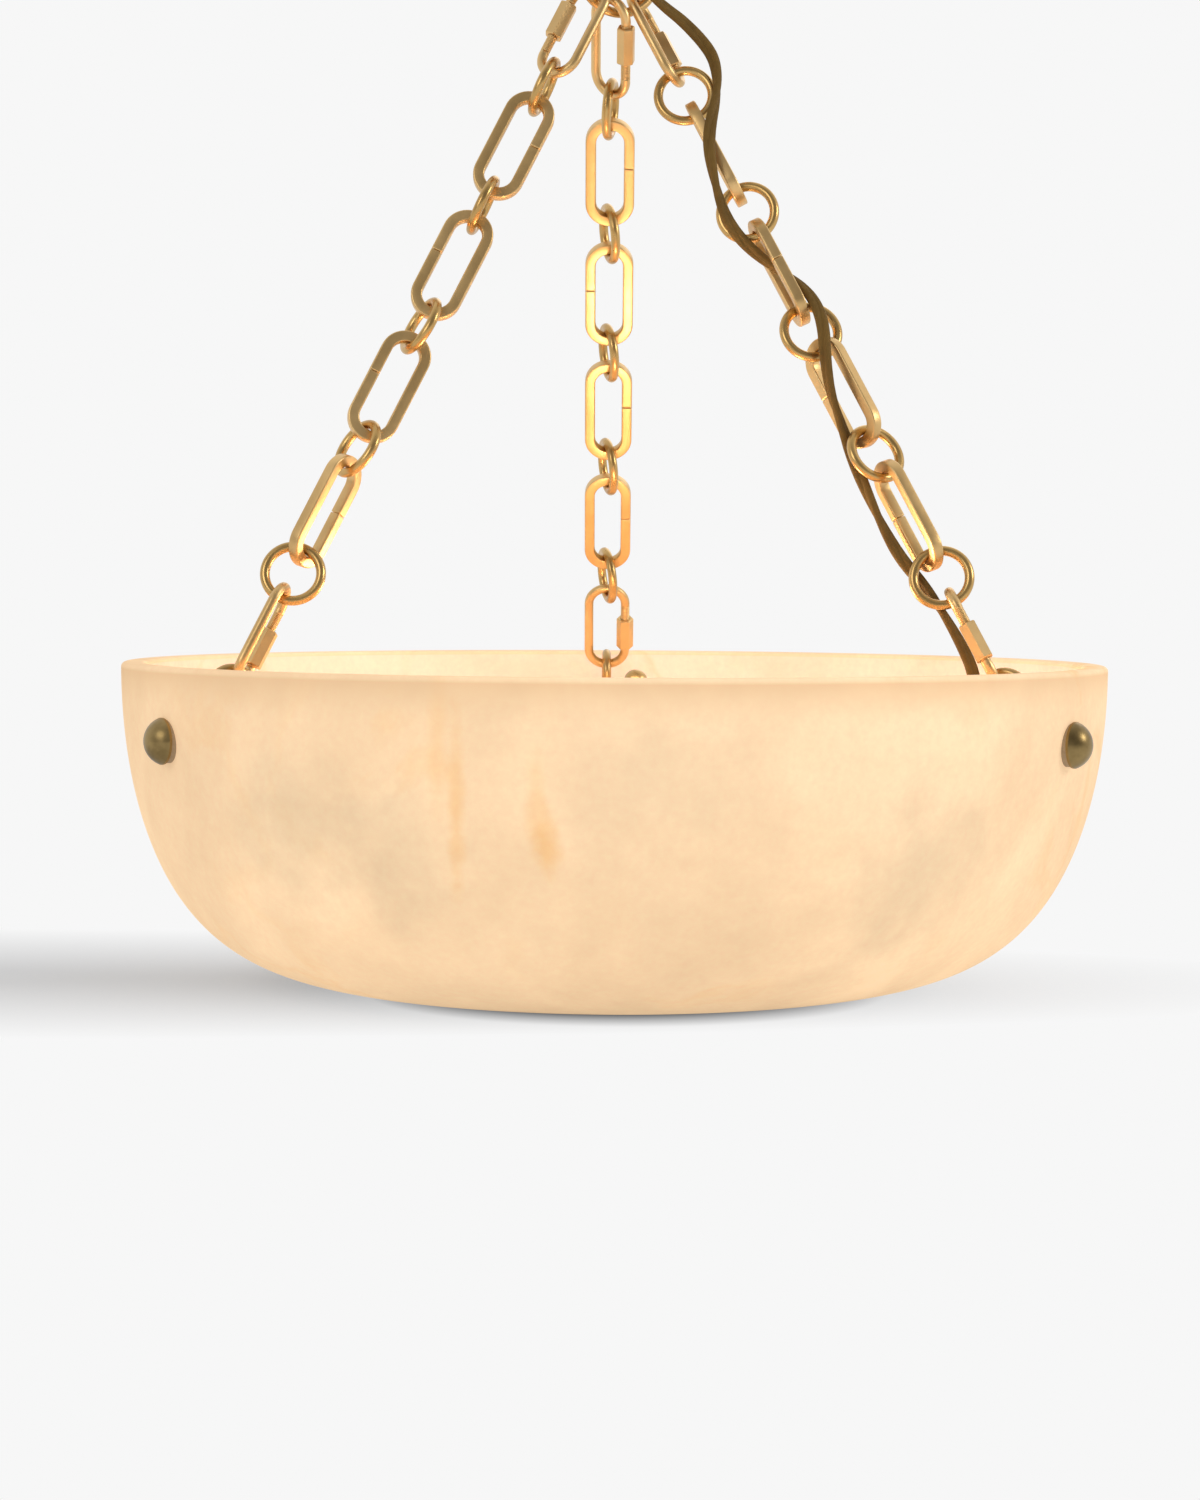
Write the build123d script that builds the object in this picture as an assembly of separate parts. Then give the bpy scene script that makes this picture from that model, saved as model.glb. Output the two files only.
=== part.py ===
from build123d import *
import os
from math import cos, hypot, pi, radians, sin, sqrt, tan

# Alabaster bowl pendant: a stone bowl on three chains under a ceiling canopy.
# Millimetres. The origin is the middle of the ceiling plane, +Z is up, and the
# room's viewer stands towards -Y. Everything below is sized by these values.

# Bowl
bowl_radius = 250.0
bowl_height = 166.0
bowl_wall = 12.0
bowl_floor = 14.0
bowl_side_power = 5.6   # how square the profile's lower corner is
bowl_drop_power = 2.07  # how early the side starts to curve in
rim_round = 2.5

# Ceiling canopy and its fixing
canopy_radius = 60.0
canopy_depth = 29.0
canopy_flat_radius = 34.0
canopy_sheet = 1.2
crossbar_length = 104.0
crossbar_width = 20.0
crossbar_sheet = 2.0
crossbar_drop = 8.0
crossbar_step = 17.0    # half the length of the strap's lowered middle
crossbar_slope = 0.8    # run of the strap's slope for each millimetre of drop
screw_spacing = 70.0
screw_hole_radius = 2.25
screw_slot_length = 12.0
shank_radius = 5.0
shank_nut_height = 5.0
shank_nut_across = 17.0
shank_past_nut = 1.0
collar_radius = 9.0
collar_height = 7.3
collar_round = 1.2
neck_radius = 6.0
neck_height = 5.0
loop_radius = 11.0
loop_wire = 5.0
loop_sink = 1.0         # how deep the loop's wire runs into the neck

# Top ring
top_ring_radius = 23.0
top_ring_wire = 5.0
top_ring_turn = 30.0    # degrees about the vertical, from facing the viewer

# Chain: quick link, ring, link, ring, link, ring, link, ring, link, ring, quick link
quick_link_length = 56.4
quick_link_width = 25.5
quick_link_wire = 5.0
quick_link_gap = 6.8
ring_outer = 32.0
ring_wire = 4.8
link_length = 60.2
link_width = 25.5
link_bar = 5.5
link_edge = 0.8
sleeve_length = 19.5
sleeve_across = 8.2
sleeve_offset = 4.0
sleeve_overlap = 2.0    # how far a closed sleeve grips past the gap
sleeve_chamfer = 0.5
rings_per_chain = 5

# Hangers on the bowl's wall
eye_standoff = 23.5
eye_radius = 11.6
eye_wire = 4.8
eye_below_rim = 12.5
bolt_below_rim = 35.0
boss_radius = 7.5
boss_length = 27.0
eye_neck_radius = 3.0
bolt_radius = 4.0
bolt_head_across = 13.0
bolt_head_height = 5.3
bolt_short_of_top = 3.0  # from the bolt's end to the dome's top
dome_radius = 11.2
dome_height = 9.0
dome_edge = 1.2
washer_radius = 10.5
washer_least = 1.0

# Lamp unit standing in the bowl
lamp_shift_x = 11.0
plate_radius = 62.0
plate_sheet = 1.6
plate_roll = 1.5
plate_hole_inset = 2.0
hub_radius = 15.0
hub_height = 22.0
hub_round = 3.0
stem_radius = 6.5
stem_top_below_rim = 14.0
finial_radius = 6.0
finial_top_below_rim = 3.7
finial_flat = 0.4       # radius of the flat left on the finial's top
holder_circle = 42.0
holder_radius = 14.0
holder_height = 42.0
holder_skirt = 17.0
skirt_height = 6.0
holder_round = 1.5
cap_radius = 7.0
cap_length = 20.0
globe_radius = 22.5
globe_rise = 30.0
bulb_neck_radius = 12.0
bulb_foot_radius = 10.0
bulb_foot_height = 4.0
globe_sink = 0.5        # how deep the neck runs into the globe

# Cord, terminal block and cord grip
cord_diameter = 5.5
grip_x = -24.0
grip_radius = 6.5
grip_length = 10.0
grip_flange = 1.5
grip_wall = 1.2
grip_taper = 1.5
block_length = 22.0
block_width = 16.0
block_height = 12.0
block_corner = 1.5
block_screw_radius = 2.0
block_screw_depth = 3.0
block_screw_spacing = 12.0
port_depth = 5.0

# Clearances
seat_gap = 0.3          # between curved pieces that bear on each other
least_link_gap = 0.06   # between the wires of the rear chain, which sets the drop
thread_clearance = 0.15
slide_clearance = 0.12
bore_clearance = 0.5
cord_clearance = 0.4

# Which way each chain runs (degrees round from +X), where it hooks on the top
# ring (degrees from its lowest point) and how each piece is turned about the
# chain, from facing the viewer: a positive turn brings its right side nearer.
# Sleeves sit on the right (1) or left (-1) leg, above (1) or below (-1) the middle.
chains = {
    "left": {
        "bearing": 211.2,
        "hook": -44.0,
        "turns": [36, 96, 5, 92, 3, 69, -7, 58, -57, 7, -80],
        "sleeves": [(-1, 1), (1, -1)],
    },
    "right": {
        "bearing": 331.2,
        "hook": 32.0,
        "turns": [-75, -5, -87, 5, 82, -19, 46, -38, 65, 0, -86],
        "sleeves": [(1, -1), (-1, -1)],
    },
    "back": {
        "bearing": 91.2,
        "hook": -10.0,
        "turns": [42, 99, 0, 76, 0, 76, 0, 76, 0, 76, 0],
        "sleeves": [(1, 1), (1, -1)],
    },
}

# The cord's way from the terminal block, over the top ring, in and out of the
# right-hand chain and down inside the bowl to the lamp unit
cord_points = [
    (0, -24, -17), (0, -24, -49.5), (4.5, -18, -81.5), (13.5, -11, -95), (23, -6, -103),
    (33.5, -4, -110.5), (45, -4, -122.5), (49.5, -9, -132), (50.5, -18, -147),
    (45.5, -34, -168.5), (46, -40.5, -184), (51.5, -42, -206.5), (58, -41, -219), (68, -38.5, -229),
    (78.5, -38.5, -236.5), (91, -44, -245), (98.5, -50.5, -254.5), (102, -59.5, -267),
    (102.5, -64.5, -282.5), (105, -65, -299), (109.5, -62, -311), (112.5, -62.5, -319.5),
    (116, -64.5, -330.5), (123, -68, -348), (132, -69.5, -367), (140.5, -74, -382),
    (152.5, -80.5, -396), (160, -84, -407.5), (167.5, -87, -420.5), (174.5, -90, -435.5),
    (175.5, -91, -450), (173, -92.5, -470), (168.5, -91.5, -506), (158, -87, -540),
    (143, -79, -563), (122, -68, -577), (96, -52, -583), (70, -35, -577.5), (45.6, -20, -572.1),
    (19.7, -5, -572.1),
]

# Heights worked out from the sizes above
canopy_bottom = -canopy_depth
collar_bottom = canopy_bottom - collar_height
loop_center_z = collar_bottom - neck_height + loop_sink - loop_radius - loop_wire / 2
loop_low_z = loop_center_z - loop_radius
ring_center_z = loop_low_z + (loop_wire + top_ring_wire) / 2 + seat_gap - top_ring_radius
eye_from_axis = bowl_radius - bowl_wall - eye_standoff
ring_radius = (ring_outer - ring_wire) / 2
quick_bow = (quick_link_width - quick_link_wire) / 2
quick_half = (quick_link_length - quick_link_width) / 2
link_bow = (link_width - link_bar) / 2
link_half = (link_length - link_width) / 2

# A square bar seats a little above the bottom of a round ring: its corners bear
ring_bore = ring_radius - ring_wire / 2
bar_flat = link_bar / 2 - link_edge
bar_seat = ring_bore - link_edge
bar_seat = ring_radius - sqrt(bar_seat ** 2 - bar_flat ** 2) + bar_flat
round_seat = (quick_link_wire + ring_wire) / 2
eye_seat = (quick_link_wire + eye_wire) / 2


def outward(bearing):
    return Vector(cos(radians(bearing)), sin(radians(bearing)), 0)


def hook_point(angle):
    """The middle of the top ring's wire at an angle from its lowest point."""
    a = radians(angle)
    sideways = outward(top_ring_turn) * (top_ring_radius * sin(a))
    return sideways + Vector(0, 0, ring_center_z - top_ring_radius * cos(a))


def side_way(down, turn):
    """The direction across a chain piece that is turned about the chain."""
    facing = Vector(-down.Z, 0, down.X).normalized()
    nearer = facing.cross(down).normalized()
    if nearer.Y > 0:
        nearer = -nearer
    t = radians(turn)
    return facing * cos(t) + nearer * sin(t)


def frame_at(start, down, along, turn):
    """Local Y runs up the chain and local X across the piece."""
    across = side_way(down, turn)
    return Plane(origin=start + down * along, x_dir=across, z_dir=across.cross(-down))


def hook_reach(hook, down, turn):
    """How far above the ring's wire a quick link's bow has to lie to clear it."""
    clear = (top_ring_wire + quick_link_wire) / 2 + seat_gap
    across = side_way(down, turn)
    arc = [pi * i / 60 for i in range(61)]
    wire = [across * (quick_bow * cos(a)) - down * (quick_bow * sin(a)) for a in arc]
    wire += [across * (side * quick_bow) + down * i for side in (-1, 1) for i in range(31)]
    along, through = outward(top_ring_turn), outward(top_ring_turn + 90)
    reach = clear
    while True:
        middle = hook - down * (reach - quick_bow) - Vector(0, 0, ring_center_z)
        spots = [middle + w for w in wire]
        if min(hypot(hypot(p.dot(along), p.Z) - top_ring_radius, p.dot(through)) for p in spots) >= clear:
            return reach
        reach += 0.05
        if reach > 2 * quick_bow:
            raise ValueError("a quick link is turned too far round to hook on the top ring")


def chain_run(reach, gap):
    """The distance from the top ring's wire to the eye's wire along one chain."""
    quick = quick_link_length - quick_link_wire
    link = link_length - link_bar
    links = rings_per_chain - 1
    seats = 2 * round_seat + eye_seat + 2 * links * bar_seat
    gaps = (2 * links + 3) * gap
    return 2 * quick + rings_per_chain * 2 * ring_radius + links * link - seats - gaps - reach


def chain_line(name, eye_height):
    """Where a chain hooks on at the top, its direction, its length and its hook's reach."""
    chain = chains[name]
    hook = hook_point(chain["hook"])
    way = outward(chain["bearing"])
    middle = way * eye_from_axis + Vector(0, 0, eye_height)
    inward = (hook - middle).dot(way)
    towards = (way * inward + Vector(0, 0, hook.Z - eye_height)).normalized()
    line = middle + towards * eye_radius - hook
    down = line.normalized()
    return hook, down, line.length, hook_reach(hook, down, chain["turns"][0])


def hanging_height():
    """The eyes' height when the rear chain, the tightest of the three, is taut."""
    low, high = ring_center_z - 450, ring_center_z - 250
    while high - low > 0.002:
        middle = (low + high) / 2
        hook, down, length, reach = chain_line("back", middle)
        if length > chain_run(reach, least_link_gap):
            low = middle
        else:
            high = middle
    return high


eye_z = hanging_height()
rim_z = eye_z + eye_below_rim
bolt_z = rim_z - bolt_below_rim
floor_z = rim_z - bowl_height + bowl_floor


# Bowl -----------------------------------------------------------------------
def profile_radius(radius, height, below):
    """The profile's radius at a depth below the rim."""
    return radius * (1 - (below / height) ** bowl_drop_power) ** (1 / bowl_side_power)


def bowl_profile(radius, height, top):
    """Points down the profile from the rim to the middle of the base."""
    steps = [0.0, 0.2, 0.4, 0.58, 0.72, 0.83, 0.91, 0.96, 0.985, 0.996]
    points = [(profile_radius(radius, height, height * s), top - height * s) for s in steps]
    return points + [(radius * 0.3, top - height * (1 - 0.3 ** bowl_side_power / 2)), (0, top - height)]


def solid_bowl(radius, height, top):
    curve = Spline(*bowl_profile(radius, height, top), tangents=[(0, -1), (-1, 0)])
    edge = Polyline((0, top - height), (0, top), (radius, top))
    face = make_face(Plane.XZ * (curve + edge))
    return revolve(face, Axis.Z)


def hanger_plane(bearing, below):
    """A plane across the bolt's axis: local Z points out of the bowl."""
    return Plane(origin=(0, 0, rim_z - below), x_dir=outward(bearing + 90), z_dir=outward(bearing))


def radial_rod(bearing, radius, start, end):
    rod = Cylinder(radius, end - start, align=(Align.CENTER, Align.CENTER, Align.MIN))
    return hanger_plane(bearing, bolt_below_rim) * Pos(0, 0, start) * rod


outer_bowl = solid_bowl(bowl_radius, bowl_height, rim_z)
inner_bowl = solid_bowl(bowl_radius - bowl_wall, bowl_height - bowl_floor, rim_z)
bearings = [c["bearing"] for c in chains.values()]


def make_bowl():
    bowl = outer_bowl - inner_bowl
    rim_edges = bowl.edges().filter_by_position(Axis.Z, rim_z - 0.01, rim_z + 0.01)
    bowl = fillet(rim_edges, rim_round)
    for bearing in bearings:
        bowl -= radial_rod(bearing, bolt_radius + bore_clearance, bowl_radius - 60, bowl_radius + 10)
    return bowl


# Hanger hardware ------------------------------------------------------------
wall_out = profile_radius(bowl_radius, bowl_height, bolt_below_rim - dome_radius)
wall_in = profile_radius(bowl_radius - bowl_wall, bowl_height - bowl_floor,
                         bolt_below_rim + boss_radius)
dome_base = wall_out + washer_least
boss_face = wall_in - washer_least
boss_start = boss_face - boss_length
bolt_end = dome_base + dome_height - bolt_short_of_top


def make_eye(bearing):
    """The ring a chain hooks into, on a boss that the wall bolt passes through."""
    plane = Plane(origin=outward(bearing) * eye_from_axis + Vector(0, 0, eye_z),
                  x_dir=outward(bearing), z_dir=outward(bearing + 90))
    ring = plane * Torus(eye_radius, eye_wire / 2)
    boss = radial_rod(bearing, boss_radius, boss_start, boss_face)
    neck_top = eye_z - eye_radius
    neck = Cylinder(eye_neck_radius, neck_top - bolt_z, align=(Align.CENTER, Align.CENTER, Align.MIN))
    neck = Pos(outward(bearing) * eye_from_axis + Vector(0, 0, bolt_z)) * neck
    bore = radial_rod(bearing, bolt_radius + thread_clearance, boss_start - 1, boss_face + 1)
    return ring + boss + neck - bore


def make_bolt(bearing):
    shank = radial_rod(bearing, bolt_radius, boss_start, bolt_end)
    head = extrude(RegularPolygon(bolt_head_across / 2, 6, major_radius=False), bolt_head_height)
    head = hanger_plane(bearing, bolt_below_rim) * Pos(0, 0, boss_start - bolt_head_height) * head
    return shank + head


def make_dome(bearing):
    """A domed nut, drilled blind, that closes on the outer washer."""
    rise = dome_height - dome_edge
    ball = (dome_radius ** 2 + rise ** 2) / (2 * rise)
    dome = Pos(0, 0, dome_height - ball) * Sphere(ball)
    dome &= Cylinder(dome_radius, dome_height, align=(Align.CENTER, Align.CENTER, Align.MIN))
    depth = bolt_end - dome_base + seat_gap
    dome -= Cylinder(bolt_radius + thread_clearance, depth,
                     align=(Align.CENTER, Align.CENTER, Align.MIN))
    return hanger_plane(bearing, bolt_below_rim) * Pos(0, 0, dome_base) * dome


def make_washers(bearing):
    """Soft washers, outside and inside, that take up the wall's curve."""
    hole = radial_rod(bearing, bolt_radius + thread_clearance, boss_face - 5, dome_base + 5)
    outer = radial_rod(bearing, washer_radius, bowl_radius - bowl_wall / 2, dome_base)
    outer = outer - outer_bowl - hole
    inner = radial_rod(bearing, boss_radius, boss_face, bowl_radius - bowl_wall / 2) & inner_bowl
    return [outer, inner - hole]


# Chain pieces ---------------------------------------------------------------
def quick_link(side, up):
    """Round wire bent to a long oval, open where the sleeve closes it."""
    x, h, r = side * quick_bow, quick_half, quick_bow
    gap_middle = up * (sleeve_offset + sleeve_length / 2 - quick_link_gap / 2 - sleeve_overlap)
    low, high = gap_middle - quick_link_gap / 2, gap_middle + quick_link_gap / 2
    path = Line((x, high), (x, h)) + ThreePointArc((x, h), (0, h + r), (-x, h))
    path += Line((-x, h), (-x, -h)) + ThreePointArc((-x, -h), (0, -h - r), (x, -h))
    path += Line((x, -h), (x, low))
    start = Plane(origin=(x, high, 0), z_dir=(0, 1, 0))
    return sweep(start * Circle(quick_link_wire / 2), path=path)


def sleeve(side, up):
    """The threaded hexagon that screws along the link to close its gap."""
    hexagon = RegularPolygon(sleeve_across / 2, 6, major_radius=False)
    body = extrude(hexagon, sleeve_length / 2, both=True)
    ends = body.faces().sort_by(Axis.Z)
    body = chamfer(ends[0].edges() + ends[-1].edges(), sleeve_chamfer)
    body -= Cylinder(quick_link_wire / 2 + slide_clearance, sleeve_length + 2)
    return Pos(side * quick_bow, up * sleeve_offset, 0) * Rot(90, 0, 0) * body


def long_link():
    """Square bar bent to a long oval."""
    outer = SlotCenterToCenter(2 * link_half, link_width, rotation=90)
    inner = SlotCenterToCenter(2 * link_half, link_width - 2 * link_bar, rotation=90)
    bar = extrude(outer - inner, link_bar / 2, both=True)
    faces = bar.faces().filter_by(GeomType.PLANE).filter_by(Axis.Z)
    return fillet(faces.edges(), link_edge)


def chain_nodes(name):
    """The pieces of one chain, hooked from the top ring to the eye, and their gap."""
    chain = chains[name]
    hook, down, run, reach = chain_line(name, eye_z)
    gap = (chain_run(reach, 0) - run) / (2 * rings_per_chain + 1)
    quick = quick_link_length - quick_link_wire
    link = link_length - link_bar
    nodes = {}
    turns = chain["turns"]
    at = -reach
    for place, half in (("top", 0), ("bottom", 1)):
        side, up = chain["sleeves"][half]
        if half:
            for i in range(rings_per_chain):
                seat = round_seat if i == 0 else bar_seat
                at -= seat + gap
                frame = frame_at(hook, down, at + ring_radius, turns[1 + 2 * i])
                nodes[f"ring_{name}_{i + 1}"] = frame * Torus(ring_radius, ring_wire / 2)
                at += 2 * ring_radius
                if i < rings_per_chain - 1:
                    at -= bar_seat + gap
                    frame = frame_at(hook, down, at + link / 2, turns[2 + 2 * i])
                    nodes[f"link_{name}_{i + 1}"] = frame * long_link()
                    at += link
            at -= round_seat + gap
        frame = frame_at(hook, down, at + quick / 2, turns[-1 if half else 0])
        nodes[f"quick_link_{place}_{name}"] = frame * quick_link(side, up)
        nodes[f"sleeve_{place}_{name}"] = frame * sleeve(side, up)
        at += quick
    lean = [round(v, 6) for v in -down]
    print("chain", name, "gap at each joint", round(gap, 3), "hook reach", round(reach, 2),
          "up the chain", lean)
    return nodes


# Ceiling pieces -------------------------------------------------------------
def upright(radius, low, high):
    rod = Cylinder(radius, high - low, align=(Align.CENTER, Align.CENTER, Align.MIN))
    return Pos(0, 0, low) * rod


def make_canopy():
    """A spun dish, open to the ceiling."""
    def dish(radius, depth):
        flat = canopy_flat_radius
        curve = EllipticalCenterArc((flat, 0), radius - flat, depth, start_angle=270, arc_size=90)
        edge = Polyline((radius, 0), (0, 0), (0, -depth), (flat, -depth))
        return revolve(make_face(Plane.XZ * (curve + edge)), Axis.Z)
    shell = dish(canopy_radius, canopy_depth)
    shell -= dish(canopy_radius - canopy_sheet, canopy_depth - canopy_sheet)
    shell -= upright(shank_radius + bore_clearance, canopy_bottom - 1, 0)
    return shell - Pos(grip_x, 0, 0) * upright(grip_neck + slide_clearance, canopy_bottom - 1, 0)


def make_crossbar():
    """A strap screwed to the ceiling, stepped down in the middle for the shank's nut."""
    half, step, run = crossbar_length / 2, crossbar_step, crossbar_drop * crossbar_slope
    drop, t = crossbar_drop, crossbar_sheet
    top = [(-half, 0), (-step - run, 0), (-step, -drop), (step, -drop), (step + run, 0), (half, 0)]
    low = [(y, z - t) for y, z in reversed(top)]
    strap = extrude(make_face(Plane.YZ * Polyline(*top, *low, close=True)), crossbar_width / 2, both=True)
    reach = block_length / 2 - grip_x
    tab = Box(reach, block_width, t, align=(Align.MAX, Align.CENTER, Align.MAX))
    strap += Pos(0, 0, -drop) * tab
    for side in (-1, 1):
        slot = SlotOverall(screw_slot_length, 2 * screw_hole_radius, rotation=90)
        strap -= Pos(0, side * screw_spacing / 2, -t - 1) * extrude(slot, t + 2)
    return strap - upright(shank_radius + thread_clearance, -drop - t - 1, 1)


def make_nuts():
    nut = extrude(RegularPolygon(shank_nut_across / 2, 6, major_radius=False), shank_nut_height)
    nut -= upright(shank_radius + thread_clearance, -1, shank_nut_height + 1)
    return [Pos(0, 0, -crossbar_drop) * nut,
            Pos(0, 0, -crossbar_drop - crossbar_sheet - shank_nut_height) * nut]


def make_loop():
    shank = upright(shank_radius, collar_bottom, -crossbar_drop + shank_nut_height + shank_past_nut)
    neck = upright(neck_radius, collar_bottom - neck_height, collar_bottom)
    plane = Plane(origin=(0, 0, loop_center_z), z_dir=outward(top_ring_turn))
    ring = plane * Torus(loop_radius, loop_wire / 2)
    return shank + neck + ring


def make_collar():
    collar = upright(collar_radius, collar_bottom, canopy_bottom)
    collar = fillet(collar.edges(), collar_round)
    return collar - upright(shank_radius + thread_clearance, collar_bottom - 1, canopy_bottom + 1)


grip_neck = cord_diameter / 2 + cord_clearance + grip_wall


def make_grip():
    """A bush that the cord leaves through, flanged above and below the canopy's sheet."""
    outside = Cone(grip_radius - grip_taper, grip_radius, grip_length, align=(Align.CENTER, Align.CENTER, Align.MAX))
    sheet = canopy_bottom + canopy_sheet
    body = Pos(0, 0, canopy_bottom) * outside
    body += upright(grip_neck, canopy_bottom, sheet) + upright(grip_radius, sheet, sheet + grip_flange)
    body -= upright(cord_diameter / 2 + cord_clearance, canopy_bottom - grip_length - 1, 0)
    return Pos(grip_x, 0, 0) * body


block_top = -crossbar_drop - crossbar_sheet
block_bottom = block_top - block_height


def make_block():
    """A terminal block under the crossbar's tab, with a port for the cord and one for the supply."""
    block = Box(block_length, block_width, block_height, align=(Align.CENTER, Align.CENTER, Align.MAX))
    block = Pos(grip_x, 0, block_top) * block
    block = fillet(block.edges().filter_by(Axis.Z), block_corner)
    port = upright(cord_diameter / 2 + cord_clearance, block_bottom - 1, block_bottom + port_depth)
    block -= Pos(grip_x, 0, 0) * port
    for side in (-1, 1):
        hole = Rot(90, 0, 0) * Cylinder(block_screw_radius, 2 * block_screw_depth)
        block -= Pos(grip_x + side * block_screw_spacing / 2, block_width / 2, block_top - block_height / 2) * hole
    return block


def make_top_ring():
    plane = Plane(origin=(0, 0, ring_center_z), z_dir=outward(top_ring_turn - 90))
    return plane * Torus(top_ring_radius, top_ring_wire / 2)


# Lamp unit ------------------------------------------------------------------
plate_bottom = floor_z + seat_gap
plate_top = plate_bottom + 2 * plate_roll
stem_top = rim_z - stem_top_below_rim
cord_port_z = plate_top + hub_height / 2
cord_port_bearing = -30.0


def make_plate():
    """A spun disc with a rolled edge that stands on the bowl's floor."""
    disc = upright(plate_radius, plate_top - plate_sheet, plate_top)
    roll = Pos(0, 0, plate_bottom + plate_roll) * Torus(plate_radius, plate_roll)
    disc = disc + roll - upright(stem_radius - plate_hole_inset, plate_bottom, plate_top + 1)
    return Pos(lamp_shift_x, 0, 0) * disc


def make_stem():
    hub = upright(hub_radius, plate_top, plate_top + hub_height)
    hub = fillet(hub.edges().group_by(Axis.Z)[-1], hub_round)
    stem = hub + upright(stem_radius, plate_top + hub_height - 1, stem_top)
    port = Cylinder(cord_diameter / 2 + cord_clearance, port_depth + 2, align=(Align.CENTER, Align.CENTER, Align.MIN))
    way = outward(cord_port_bearing)
    port_plane = Plane(origin=way * (hub_radius - port_depth) + Vector(0, 0, cord_port_z), z_dir=way)
    return Pos(lamp_shift_x, 0, 0) * (stem - port_plane * port)


def make_finial():
    """A small domed cap on the stem."""
    cap = upright(finial_radius, stem_top, rim_z - finial_top_below_rim)
    cap = fillet(cap.edges().group_by(Axis.Z)[-1], finial_radius - finial_flat)
    return Pos(lamp_shift_x, 0, 0) * cap


def holder_places():
    for i in range(3):
        bearing = 30.0 + 120.0 * i
        yield Vector(lamp_shift_x, 0, plate_top) + outward(bearing) * holder_circle


def make_holder(place):
    """A lampholder: a skirt at its foot and a socket in its top."""
    body = upright(holder_radius, 0, holder_height) + upright(holder_skirt, 0, skirt_height)
    body = fillet(body.edges().group_by(Axis.Z)[-1], holder_round)
    body -= upright(cap_radius + cord_clearance, holder_height - cap_length - seat_gap, holder_height + 1)
    return Pos(place) * body


def make_bulb(place):
    """A golf-ball lamp: cap, neck and globe."""
    base = holder_height
    center = base + globe_rise
    foot_z = base + bulb_foot_height
    touch = center - sqrt(globe_radius ** 2 - bulb_neck_radius ** 2) - globe_sink
    outline = Polyline((0, base - cap_length), (cap_radius, base - cap_length), (cap_radius, base + seat_gap),
                       (bulb_foot_radius, foot_z), (bulb_neck_radius, touch), (0, center))
    body = revolve(make_face(Plane.XZ * (outline + Line((0, center), (0, base - cap_length)))), Axis.Z)
    return Pos(place) * (body + Pos(0, 0, center) * Sphere(globe_radius))


# Cord -----------------------------------------------------------------------
def make_cord():
    """A tube along the cord's way, each corner as round as its two runs allow."""
    points = [Vector(p) for p in cord_points]
    radii = []
    for before, here, after in zip(points, points[1:], points[2:]):
        turn = radians((here - before).get_angle(after - here))
        radii.append(0.45 * min((here - before).length, (after - here).length) / tan(turn / 2))
    path = FilletPolyline(*points, radius=radii)
    start = Plane(origin=points[0], z_dir=points[1] - points[0])
    tube = sweep(start * Circle(cord_diameter / 2), path=path)
    print("cord radii", [round(r) for r in radii])
    section = pi * cord_diameter ** 2 / 4
    print("cord length", round(path.length, 1), "volume", round(tube.volume), "should be",
          round(section * path.length))
    return tube


# Build and write ------------------------------------------------------------
def build_nodes():
    forward = Rot(0, 0, 90)  # the cord leaves the canopy on the viewer's side
    nodes = {
        "canopy": forward * make_canopy(),
        "crossbar": forward * make_crossbar(),
        "shank_nuts": make_nuts(),
        "canopy_loop": make_loop(),
        "loop_collar": make_collar(),
        "canopy_cord_grip": forward * make_grip(),
        "terminal_block": forward * make_block(),
        "top_ring": make_top_ring(),
        "bowl": make_bowl(),
        "hanger_eyes": [make_eye(b) for b in bearings],
        "wall_bolts": [make_bolt(b) for b in bearings],
        "dome_nuts": [make_dome(b) for b in bearings],
        "wall_washers": [w for b in bearings for w in make_washers(b)],
        "lamp_plate": make_plate(),
        "lamp_stem": make_stem(),
        "stem_finial": make_finial(),
        "lampholders": [make_holder(p) for p in holder_places()],
    }
    for i, place in enumerate(holder_places()):
        nodes[f"bulb_{i + 1}"] = make_bulb(place)
    for name in chains:
        nodes.update(chain_nodes(name))
    nodes["supply_cord"] = make_cord()
    return nodes


os.makedirs("parts", exist_ok=True)
for node, shape in build_nodes().items():
    pieces = shape if isinstance(shape, list) else [shape]
    export_step(Compound(children=[s for p in pieces for s in p.solids()]), f"parts/{node}.step")
print("rim height", round(rim_z, 3), "eye height", round(eye_z, 3), "top ring middle", round(ring_center_z, 3))
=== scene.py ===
from math import cos, pi, radians, sin, sqrt

import bpy
from mathutils import Matrix, Vector


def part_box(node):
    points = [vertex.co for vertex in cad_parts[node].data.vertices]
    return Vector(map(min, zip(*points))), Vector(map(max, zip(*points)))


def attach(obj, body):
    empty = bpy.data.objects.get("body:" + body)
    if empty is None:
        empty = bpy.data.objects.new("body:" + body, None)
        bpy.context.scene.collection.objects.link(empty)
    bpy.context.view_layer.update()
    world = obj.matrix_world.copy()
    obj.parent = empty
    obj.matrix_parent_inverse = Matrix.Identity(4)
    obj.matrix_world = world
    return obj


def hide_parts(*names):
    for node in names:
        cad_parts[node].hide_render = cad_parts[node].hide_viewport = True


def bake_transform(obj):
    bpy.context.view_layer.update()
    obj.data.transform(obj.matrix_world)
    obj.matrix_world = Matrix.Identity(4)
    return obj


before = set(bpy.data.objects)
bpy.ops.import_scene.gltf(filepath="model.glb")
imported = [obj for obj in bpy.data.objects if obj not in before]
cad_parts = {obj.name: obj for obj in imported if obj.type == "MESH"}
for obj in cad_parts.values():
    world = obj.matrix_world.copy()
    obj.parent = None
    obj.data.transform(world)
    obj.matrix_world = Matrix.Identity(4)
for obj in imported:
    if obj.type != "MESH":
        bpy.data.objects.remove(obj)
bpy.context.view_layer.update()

scene = bpy.context.scene
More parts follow.
